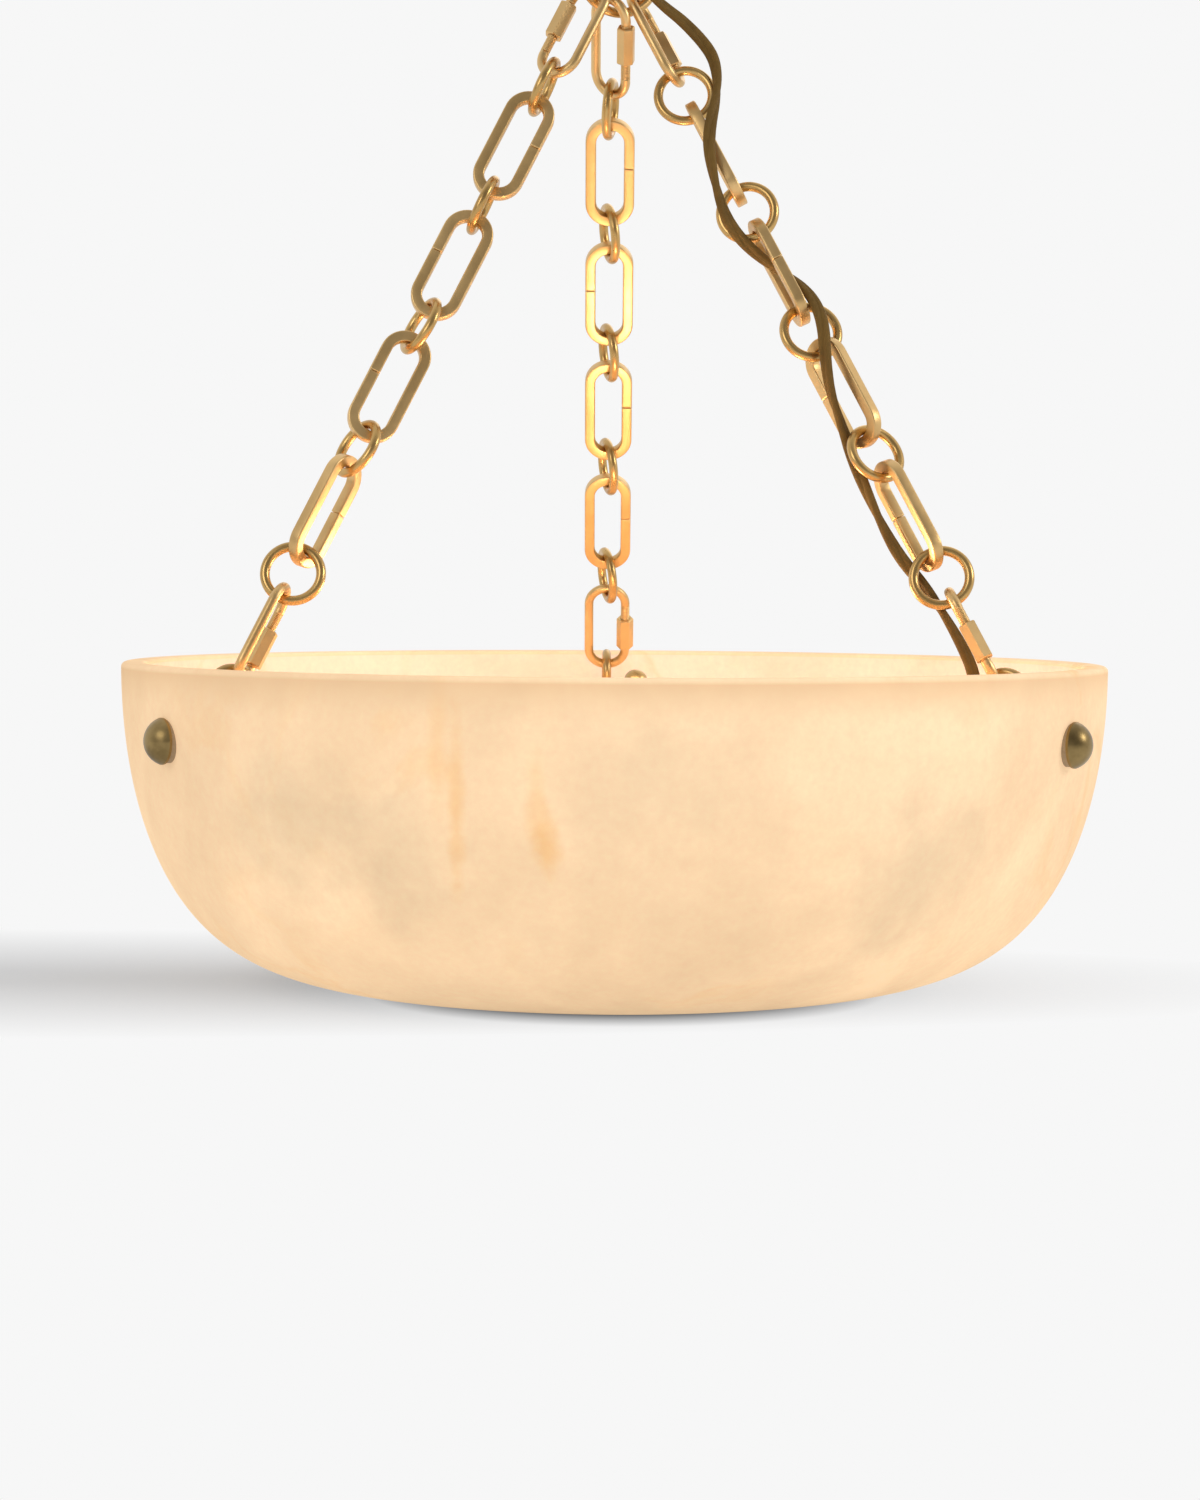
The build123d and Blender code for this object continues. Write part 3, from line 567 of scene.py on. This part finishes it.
def makeHangTree():
    tree, given, out = newGroup("hungPieces", "GeometryNodeTree",
        [("Geometry", "NodeSocketGeometry", None), ("Piece", "NodeSocketObject", None),
         ("Second Piece", "NodeSocketObject", None), ("Material", "NodeSocketMaterial", None)],
        [("Geometry", "NodeSocketGeometry")])
    turn = addNode(tree, "GeometryNodeInputNamedAttribute", {"Name": "pieceTurn"}, data_type="FLOAT_VECTOR")
    flip = addNode(tree, "GeometryNodeInputNamedAttribute", {"Name": "pieceKind"}, data_type="INT")
    turned = addNode(tree, "FunctionNodeEulerToRotation", {"Euler": turn.outputs[0]})
    parts = []
    for label, wanted in (("Piece", 0), ("Second Piece", 1)):
        chosen = addNode(tree, "FunctionNodeCompare", {2: flip.outputs[0], 3: wanted}, data_type="INT",
                         operation="EQUAL")
        model = addNode(tree, "GeometryNodeObjectInfo", {"Object": given.outputs[label]},
                        transform_space="ORIGINAL")
        hung = addNode(tree, "GeometryNodeInstanceOnPoints",
                       {"Points": given.outputs["Geometry"], "Selection": chosen.outputs[0],
                        "Instance": model.outputs["Geometry"], "Rotation": turned.outputs[0]})
        parts.append(hung.outputs[0])
    joined = addNode(tree, "GeometryNodeJoinGeometry")
    for part in parts:
        tree.links.new(part, joined.inputs[0])
    paintedOut(tree, given, out, joined.outputs[0])
    return tree


def makeTurnedTree():
    tree, given, out = newGroup("turnedShape", "GeometryNodeTree",
        [("Profile", "NodeSocketGeometry", None), ("Profile Points", "NodeSocketInt", 100),
         ("Steps Round", "NodeSocketInt", 192), ("Inner Start", "NodeSocketInt", 50),
         ("Inner End", "NodeSocketInt", 80), ("Material", "NodeSocketMaterial", None)],
        [("Geometry", "NodeSocketGeometry")])
    number = given.outputs["Profile Points"]
    columns = math(tree, "ADD", given.outputs["Steps Round"], 1.0)
    grid = addNode(tree, "GeometryNodeMeshGrid", {"Size X": 1.0, "Size Y": 1.0, "Vertices X": columns,
                                                  "Vertices Y": number})
    index = addNode(tree, "GeometryNodeInputIndex").outputs[0]
    row = math(tree, "MODULO", index, number)
    column = math(tree, "FLOOR", math(tree, "DIVIDE", index, number))
    angle = math(tree, "MULTIPLY", math(tree, "DIVIDE", column, given.outputs["Steps Round"]), 2 * pi)
    place = addNode(tree, "GeometryNodeInputPosition").outputs[0]
    profile = addNode(tree, "GeometryNodeSampleIndex", {"Geometry": given.outputs["Profile"], "Value": place,
                                                        "Index": row}, data_type="FLOAT_VECTOR")
    turned = addNode(tree, "ShaderNodeVectorRotate", {"Vector": profile.outputs[0], "Angle": angle},
                     rotation_type="Z_AXIS")
    moved = addNode(tree, "GeometryNodeSetPosition", {"Geometry": grid.outputs[0],
                                                      "Position": turned.outputs[0]})
    inner = addNode(tree, "FunctionNodeCompare", {0: row, 1: given.outputs["Inner Start"]},
                    data_type="FLOAT", operation="GREATER_EQUAL")
    before = addNode(tree, "FunctionNodeCompare", {0: row, 1: given.outputs["Inner End"]},
                     data_type="FLOAT", operation="LESS_THAN")
    within = addNode(tree, "FunctionNodeBooleanMath", {0: inner.outputs[0], 1: before.outputs[0]})
    marked = addNode(tree, "GeometryNodeStoreNamedAttribute", {"Geometry": moved.outputs[0], "Name": "inside",
                                                               "Value": within.outputs[0]},
                     data_type="FLOAT", domain="POINT")
    merged = addNode(tree, "GeometryNodeMergeByDistance", {"Geometry": marked.outputs[0], "Distance": 1e-6})
    smooth = addNode(tree, "GeometryNodeSetShadeSmooth", {"Geometry": merged.outputs[0]})
    paintedOut(tree, given, out, smooth.outputs[0])
    return tree


ringTree, hangTree, turnedTree = makeRingTree(), makeHangTree(), makeTurnedTree()
print("geometry trees built")


# Bowl: a turned profile with a rounded lip, its glow from the lamps inside painted into the stone as emission

bowlShape = {"radius": 250.0, "height": 166.0, "wall": 12.0, "floor": 14.0, "sidePower": 5.6,
             "dropPower": 2.07, "lip": 2.5, "steps": 70, "lipSteps": 7, "round": 240, "edgeShare": 0.62,
             "floorSteps": 40}


def bowlLine(shape, radius, height):
    line = []
    for i in range(shape["steps"] + 1):
        a = pi / 2 * i / shape["steps"]
        below = shape["lip"] + (height - shape["lip"]) * sin(a)
        share = max(0.0, 1 - (below / height) ** shape["dropPower"]) ** (1 / shape["sidePower"])
        if line and radius * share < shape["edgeShare"] * radius:
            break
        line.append((radius * share, below))
    edge = line[-1][0]
    for i in range(1, shape["floorSteps"] + 1):
        out = edge * (1 - i / shape["floorSteps"])
        below = height * (1 - (out / radius) ** shape["sidePower"]) ** (1 / shape["dropPower"])
        line.append((out, below))
    return line


def bowlProfile(shape):
    outside = bowlLine(shape, shape["radius"], shape["height"])
    inside = bowlLine(shape, shape["radius"] - shape["wall"], shape["height"] - shape["floor"])
    inside.reverse()
    lip = shape["lip"]
    lipLine = []
    for centre, first in ((shape["radius"] - shape["wall"] + lip, 180.0), (shape["radius"] - lip, 90.0)):
        for i in range(shape["lipSteps"] + 1):
            a = radians(first - 90.0 * i / shape["lipSteps"])
            lipLine.append((centre + lip * cos(a), lip - lip * sin(a)))
    return outside, inside, lipLine[1:-1]


def makeBowl(shape):
    outside, inside, lipLine = bowlProfile(shape)
    profile = outside + inside + lipLine + outside[:1]
    points = [(x * mm, 0, rimHeight - below * mm) for x, below in profile]
    line = newObject("bowlProfile", newMesh("bowlProfile", points, []))
    mesh = settle(line, turnedTree, {"Profile Points": len(points), "Steps Round": shape["round"],
                                     "Inner Start": len(outside), "Inner End": len(outside) + len(inside),
                                     "Material": finishes["alabaster"]}, "stoneBowl")
    bpy.data.objects.remove(line)
    bowl = newObject("stoneBowl", mesh)
    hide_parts("bowl")
    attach(bowl, "pendant")
    return bowl


stoneBowl = makeBowl(bowlShape)
print("bowl built")


# Chains: quick link, ring, link, ring, link, ring, link, ring, link, ring, quick link

chainShape = {
    "ringRadius": 13.6, "ringWire": 4.8, "linkLength": 60.2, "linkWidth": 25.5, "linkBar": 5.5,
    "linkEdge": 0.8, "quickLength": 56.4, "quickWidth": 25.5, "quickWire": 5.0, "quickGap": 6.8,
    "sleeveOffset": 4.0, "sleeveLength": 19.5, "gapInset": 2.0, "threadPitch": 0.8, "threadDepth": 0.3,
    "longThread": 21.0, "shortThread": 4.5, "threadSteps": 6, "threadEnd": 0.8, "quickSteps": 20,
    "seamWidth": 0.35, "seamDepth": 1.9, "seamHeight": 3.0, "seamSpots": (-2.4, -1, -1 / 3, 1 / 3, 1, 2.4),
    "bowSteps": 26, "sideSteps": 8, "cornerSteps": 4, "ringSteps": 96, "wireSteps": 24,
}
chainTurns = {  # degrees of each piece about its chain, from facing the viewer
    "left": [36, 96, 5, 92, 3, 69, -7, 58, -57, 7, -80],
    "right": [-75, -5, -87, 5, 82, -19, 46, -38, 65, 0, -86],
    "back": [42, 99, 0, 76, 0, 76, 0, 76, 0, 76, 0],
}
sleeveSides = {"left": [(-1, 1), (1, -1)], "right": [(1, -1), (-1, -1)], "back": [(1, 1), (1, -1)]}
seamLegs = {"left": [1, -1, -1, 1], "right": [1, 1, -1, -1], "back": [1, -1, 1, 1]}


def middleOf(node):
    low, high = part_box(node)
    return (low + high) / 2


def pieceTurn(up, turn):
    facing = Vector((up.z, 0, -up.x)).normalized()
    nearer = (-facing.cross(up)).normalized()
    if nearer.y > 0:
        nearer = -nearer
    across = facing * cos(radians(turn)) + nearer * sin(radians(turn))
    return Matrix((across, up, across.cross(up))).transposed()


def sectionLoop(half, edge, steps):
    loop, inner = [], half - edge
    for corner in range(4):
        a = radians(45 + 90 * corner)
        x, y = inner * (1 if cos(a) > 0 else -1), inner * (1 if sin(a) > 0 else -1)
        for i in range(steps + 1):
            b = radians(90 * corner + 90 * i / steps)
            loop.append((x + edge * cos(b), y + edge * sin(b)))
    return loop


def ovalStations(bow, half, spots, shape):
    stations, bowSteps, sideSteps = [], shape["bowSteps"], shape["sideSteps"]
    for y in spots:
        stations.append((Vector((bow, y, 0)), Vector((1, 0, 0))))
    for i in range(1, bowSteps):
        a = pi * i / bowSteps
        stations.append((Vector((bow * cos(a), half + bow * sin(a), 0)), Vector((cos(a), sin(a), 0))))
    for i in range(sideSteps + 1):
        stations.append((Vector((-bow, half - 2 * half * i / sideSteps, 0)), Vector((-1, 0, 0))))
    for i in range(1, bowSteps):
        a = pi + pi * i / bowSteps
        stations.append((Vector((bow * cos(a), -half + bow * sin(a), 0)), Vector((cos(a), sin(a), 0))))
    return stations


def loopTube(name, stations, sections, closed):
    points, faces, count = [], [], len(sections[0])
    for (centre, out), section in zip(stations, sections):
        points += [centre * mm + (out * x + Vector((0, 0, y))) * mm for x, y in section]
    last = len(stations) if closed else len(stations) - 1
    for ring in range(last):
        here, ahead = ring * count, (ring + 1) % len(stations) * count
        for i in range(count):
            j = (i + 1) % count
            faces.append((here + j, here + i, ahead + i, ahead + j))
    if not closed:
        faces.append(tuple(range(count)))
        faces.append(tuple(reversed(range((len(stations) - 1) * count, len(stations) * count))))
    return newMesh(name, points, faces)


def makeLinkMesh(shape):
    half = (shape["linkLength"] - shape["linkWidth"]) / 2
    bow = (shape["linkWidth"] - shape["linkBar"]) / 2
    seam, wide = shape["seamHeight"], shape["seamWidth"]
    spots = [-half + i * half / 4 for i in range(4)]
    spots += [seam + wide * share for share in shape["seamSpots"]]
    spots += [half * (0.45 + 0.55 * i / 4) for i in range(5)]
    stations = ovalStations(bow, half, spots, shape)
    bar = shape["linkBar"] / 2
    full = sectionLoop(bar, shape["linkEdge"], shape["cornerSteps"])
    shrunk = sectionLoop(bar - shape["seamDepth"], shape["linkEdge"], shape["cornerSteps"])
    sections = [shrunk if centre.x > 0 and abs(centre.y - seam) < 0.5 * wide else full
                for centre, _ in stations]
    return loopTube("longLink", stations, sections, True)


def threadedSection(wire, cut, phase, angles):
    section = []
    for a in angles:
        reach = wire - cut * (0.5 - 0.5 * cos(phase + a))
        section.append((reach * cos(a), reach * sin(a)))
    return section


def makeQuickMesh(shape, up):
    half = (shape["quickLength"] - shape["quickWidth"]) / 2
    bow = (shape["quickWidth"] - shape["quickWire"]) / 2
    middle = up * (shape["sleeveOffset"] + shape["sleeveLength"] / 2 - shape["quickGap"] / 2
                   - shape["gapInset"])
    wire = shape["quickWire"] / 2
    angles = [2 * pi * i / shape["quickSteps"] for i in range(shape["quickSteps"])]
    plain = [(wire * cos(a), wire * sin(a)) for a in angles]
    stations, sections = [], []

    def addThread(first, last):
        steps = int(abs(last - first) / shape["threadPitch"] * shape["threadSteps"])
        for i in range(steps + 1):
            y = first + (last - first) * i / steps
            cut = shape["threadDepth"] if 0 < i < steps else shape["threadDepth"] / 3
            stations.append((Vector((bow, y, 0)), Vector((1, 0, 0))))
            sections.append(threadedSection(wire, cut, 2 * pi * y / shape["threadPitch"], angles))

    runs = {up: shape["shortThread"], -up: shape["longThread"]}  # the sleeve turns back along the long one
    high, low = middle + shape["quickGap"] / 2, middle - shape["quickGap"] / 2
    addThread(high, min(half - shape["threadEnd"], high + runs[1]))
    for centre, out in ovalStations(bow, half, [half], shape):
        stations.append((centre, out))
        sections.append(plain)
    addThread(max(shape["threadEnd"] - half, low - runs[-1]), low)
    return loopTube("quickLink", stations, sections, False)


def chainPlaces(side, shape):
    first, last = middleOf(f"ring_{side}_1"), middleOf(f"ring_{side}_5")
    up = (first - last).normalized()
    ring, bar, wire = shape["ringRadius"] * mm, shape["linkBar"] / 2 * mm, shape["ringWire"] / 2 * mm
    reach = (first - middleOf(f"link_{side}_1")).length
    flat, bore = bar - shape["linkEdge"] * mm, ring - wire - shape["linkEdge"] * mm
    seat = ring - sqrt(bore ** 2 - flat ** 2) + flat
    gap = ring - seat + (shape["linkLength"] / 2 * mm - bar) - reach
    quick = (shape["quickLength"] - shape["quickWire"]) / 2 * mm
    away = ring + quick - (shape["quickWire"] * mm / 2 + wire) - gap
    return up, first + up * away, last - up * away


def halfTurn(leg):
    return Matrix.Identity(3) if leg > 0 else Matrix.Rotation(pi, 3, "Y")


def dressRows(shape):
    rings, links, quicks = [], [], []
    for side, turns in chainTurns.items():
        up, top, bottom = chainPlaces(side, shape)
        for i in range(5):
            rings.append((middleOf(f"ring_{side}_{i + 1}"), pieceTurn(up, turns[1 + 2 * i]), 0))
        for i in range(4):
            turn = pieceTurn(up, turns[2 + 2 * i]) @ halfTurn(seamLegs[side][i])
            links.append((middleOf(f"link_{side}_{i + 1}"), turn, 0))
        for place, turn, (leg, high) in zip((top, bottom), (turns[0], turns[-1]), sleeveSides[side]):
            quicks.append((place, pieceTurn(up, turn) @ halfTurn(leg), 0 if high > 0 else 1))
    return rings, links, quicks


def hangRow(name, row, pieces, material, nodes):
    points = newObject(name, newMesh(name, [place for place, _, _ in row], []))
    turn = points.data.attributes.new("pieceTurn", "FLOAT_VECTOR", "POINT")
    turn.data.foreach_set("vector", [angle for _, m, _ in row for angle in m.to_euler()])
    kind = points.data.attributes.new("pieceKind", "INT", "POINT")
    kind.data.foreach_set("value", [which for _, _, which in row])
    mesh = settle(points, hangTree, {"Piece": pieces[0], "Second Piece": pieces[-1],
                                     "Material": material}, name)
    bpy.data.objects.remove(points)
    for piece in set(pieces):
        bpy.data.objects.remove(piece)
    made = newObject(name, mesh)
    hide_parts(*nodes)
    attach(made, "pendant")
    print(name, len(mesh.polygons), "faces")
    return made


rings, links, quicks = dressRows(chainShape)
sides = list(chainTurns)
ringSeed = newObject("ringSeed", newMesh("ringSeed", [(0, 0, 0)], []))
ringMesh = settle(ringSeed, ringTree, {"Ring Radius": chainShape["ringRadius"] * mm,
                                       "Wire Radius": chainShape["ringWire"] / 2 * mm,
                                       "Steps Round": chainShape["ringSteps"],
                                       "Steps Across": chainShape["wireSteps"]}, "wireRing")
bpy.data.objects.remove(ringSeed)
hangRow("chainRings", rings, [newObject("ring", ringMesh)], finishes["ringBrass"],
        [f"ring_{side}_{i + 1}" for side in sides for i in range(5)])
hangRow("chainLinks", links, [newObject("link", makeLinkMesh(chainShape))], finishes["satinBrass"],
        [f"link_{side}_{i + 1}" for side in sides for i in range(4)])
hangRow("quickLinks", quicks, [newObject("quickHigh", makeQuickMesh(chainShape, 1)),
                               newObject("quickLow", makeQuickMesh(chainShape, -1))],
        finishes["satinBrass"],
        [f"quick_link_{place}_{side}" for side in sides for place in ("top", "bottom")])


# The turned, cast and pressed parts keep their CAD shape

dressing = {
    "antiqueBrass": ["canopy", "canopy_loop", "loop_collar", "canopy_cord_grip", "top_ring", "hanger_eyes",
                     "stem_finial", "lamp_stem", "lamp_plate"],
    "satinBrass": [f"sleeve_{place}_{side}" for side in sides for place in ("top", "bottom")],
    "darkBrass": ["dome_nuts"],
    "zincSteel": ["crossbar", "shank_nuts", "wall_bolts"],
    "softWasher": ["wall_washers"],
    "holderPlastic": ["lampholders"],
    "blockPlastic": ["terminal_block"],
    "opalGlass": ["bulb_1", "bulb_2", "bulb_3"],
}
for finish, nodes in dressing.items():
    for node in nodes:
        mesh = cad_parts[node].data
        mesh.materials.clear()
        mesh.materials.append(finishes[finish])
print("CAD nodes dressed")


# Floor, backdrop and lights

stageLook = {
    "floorHeight": -0.6016, "backdrop": 0.93, "floorTint": (0.85, 0.87, 0.9), "hide": 0.3,
    "shadeCentre": (-0.36, 0.03), "shadeScale": (0.55, 1.8), "near": 0.05, "far": 0.42,
    "contactNear": 0.1, "contactFar": 0.155, "halfSize": 8.0,
    "roomDark": 0.3, "roomTurn": (-0.7, 0.2), "fillStrength": 0.45,
}


def makeFloor(look):
    size = look["halfSize"]
    points = [(x * size, y * size, look["floorHeight"]) for x, y in ((-1, -1), (1, -1), (1, 1), (-1, 1))]
    floor = newObject("floor", newMesh("floor", points, [(0, 1, 2, 3)]))
    made, tree, shader = newMaterial("floorPaper", Roughness=0.9)
    shader.inputs["Base Color"].default_value = (*look["floorTint"], 1)
    rays = addNode(tree, "ShaderNodeLightPath")
    seen = math(tree, "ADD", rays.outputs["Is Camera Ray"], rays.outputs["Is Glossy Ray"], True)
    seen = math(tree, "ADD", seen, rays.outputs["Is Transmission Ray"], True)
    stretched = objectCoords(tree, (*look["shadeCentre"], look["floorHeight"]), (*look["shadeScale"], 1))
    away = vectorMath(tree, "LENGTH", stretched)
    away = spread(tree, away, look["near"], look["far"], look["hide"], 1.0)
    contact = vectorMath(tree, "LENGTH", objectCoords(tree, (0, 0, look["floorHeight"])))
    contact = spread(tree, contact, look["contactNear"], look["contactFar"])
    away = math(tree, "MINIMUM", away, contact)
    pale = addNode(tree, "ShaderNodeEmission", {"Color": (look["backdrop"],) * 3 + (1,), "Strength": 1.0})
    mix = addNode(tree, "ShaderNodeMixShader", {0: math(tree, "MULTIPLY", seen, away), 1: shader.outputs[0],
                                                2: pale.outputs[0]})
    tree.links.new(mix.outputs[0], tree.nodes["Material Output"].inputs["Surface"])
    floor.data.materials.append(made)
    unlit = bpy.data.collections.new("unlitByGlow")  # the stone's glow leaves the floor's shadow grey
    unlit.objects.link(floor)
    unlit.collection_objects[0].light_linking.link_state = "EXCLUDE"
    stoneBowl.light_linking.receiver_collection = unlit


def makeWorld(look):
    world = bpy.data.worlds.new("studio")
    scene.world = world
    world.use_nodes = True
    tree = world.node_tree
    rays = addNode(tree, "ShaderNodeLightPath")
    seen = math(tree, "ADD", rays.outputs["Is Camera Ray"], rays.outputs["Is Transmission Ray"], True)
    way = addNode(tree, "ShaderNodeTexCoord").outputs["Generated"]
    ahead = addNode(tree, "ShaderNodeSeparateXYZ", {"Vector": way}).outputs["Y"]
    room = spread(tree, ahead, *look["roomTurn"], look["roomDark"], look["backdrop"])
    level = blendColours(tree, rays.outputs["Is Glossy Ray"], (look["fillStrength"],) * 3 + (1,), room)
    level = blendColours(tree, seen, level, (look["backdrop"],) * 3 + (1,))
    tree.links.new(level, tree.nodes["Background"].inputs["Color"])


lights = {  # kind, place, aim, size, power and colour
    "keyLight": ("AREA", (-1.2, -1.6, 0.5), (0, 0, -0.4), 1.1, 8.0, (1.0, 0.98, 0.95)),
    "sideLight": ("AREA", (1.7, -0.45, 0.35), (0, 0, -0.5), 0.6, 8.0, (1.0, 0.97, 0.94)),
    "backLight": ("AREA", (0.6, 1.8, 0.8), (0, 0, -0.4), 1.4, 4.0, (1.0, 0.98, 0.96)),
    "bulbGlow": ("POINT", (0.011, -0.02, -0.452), (0.011, 0, 0.0), 0.03, 0.75, (1.0, 0.8, 0.6)),
}


def placeLight(name, kind, place, aim, size, power, colour):
    lamp = bpy.data.lights.new(name, kind)
    lamp.energy, lamp.color = power, colour
    if kind == "AREA":
        lamp.shape, lamp.size = "DISK", size
    else:
        lamp.shadow_soft_size = size
    made = newObject(name, lamp)
    made.location = place
    made.rotation_euler = (Vector(aim) - Vector(place)).to_track_quat("-Z", "Y").to_euler()


makeFloor(stageLook)
makeWorld(stageLook)
for name, values in lights.items():
    placeLight(name, *values)
print("stage and lights set")
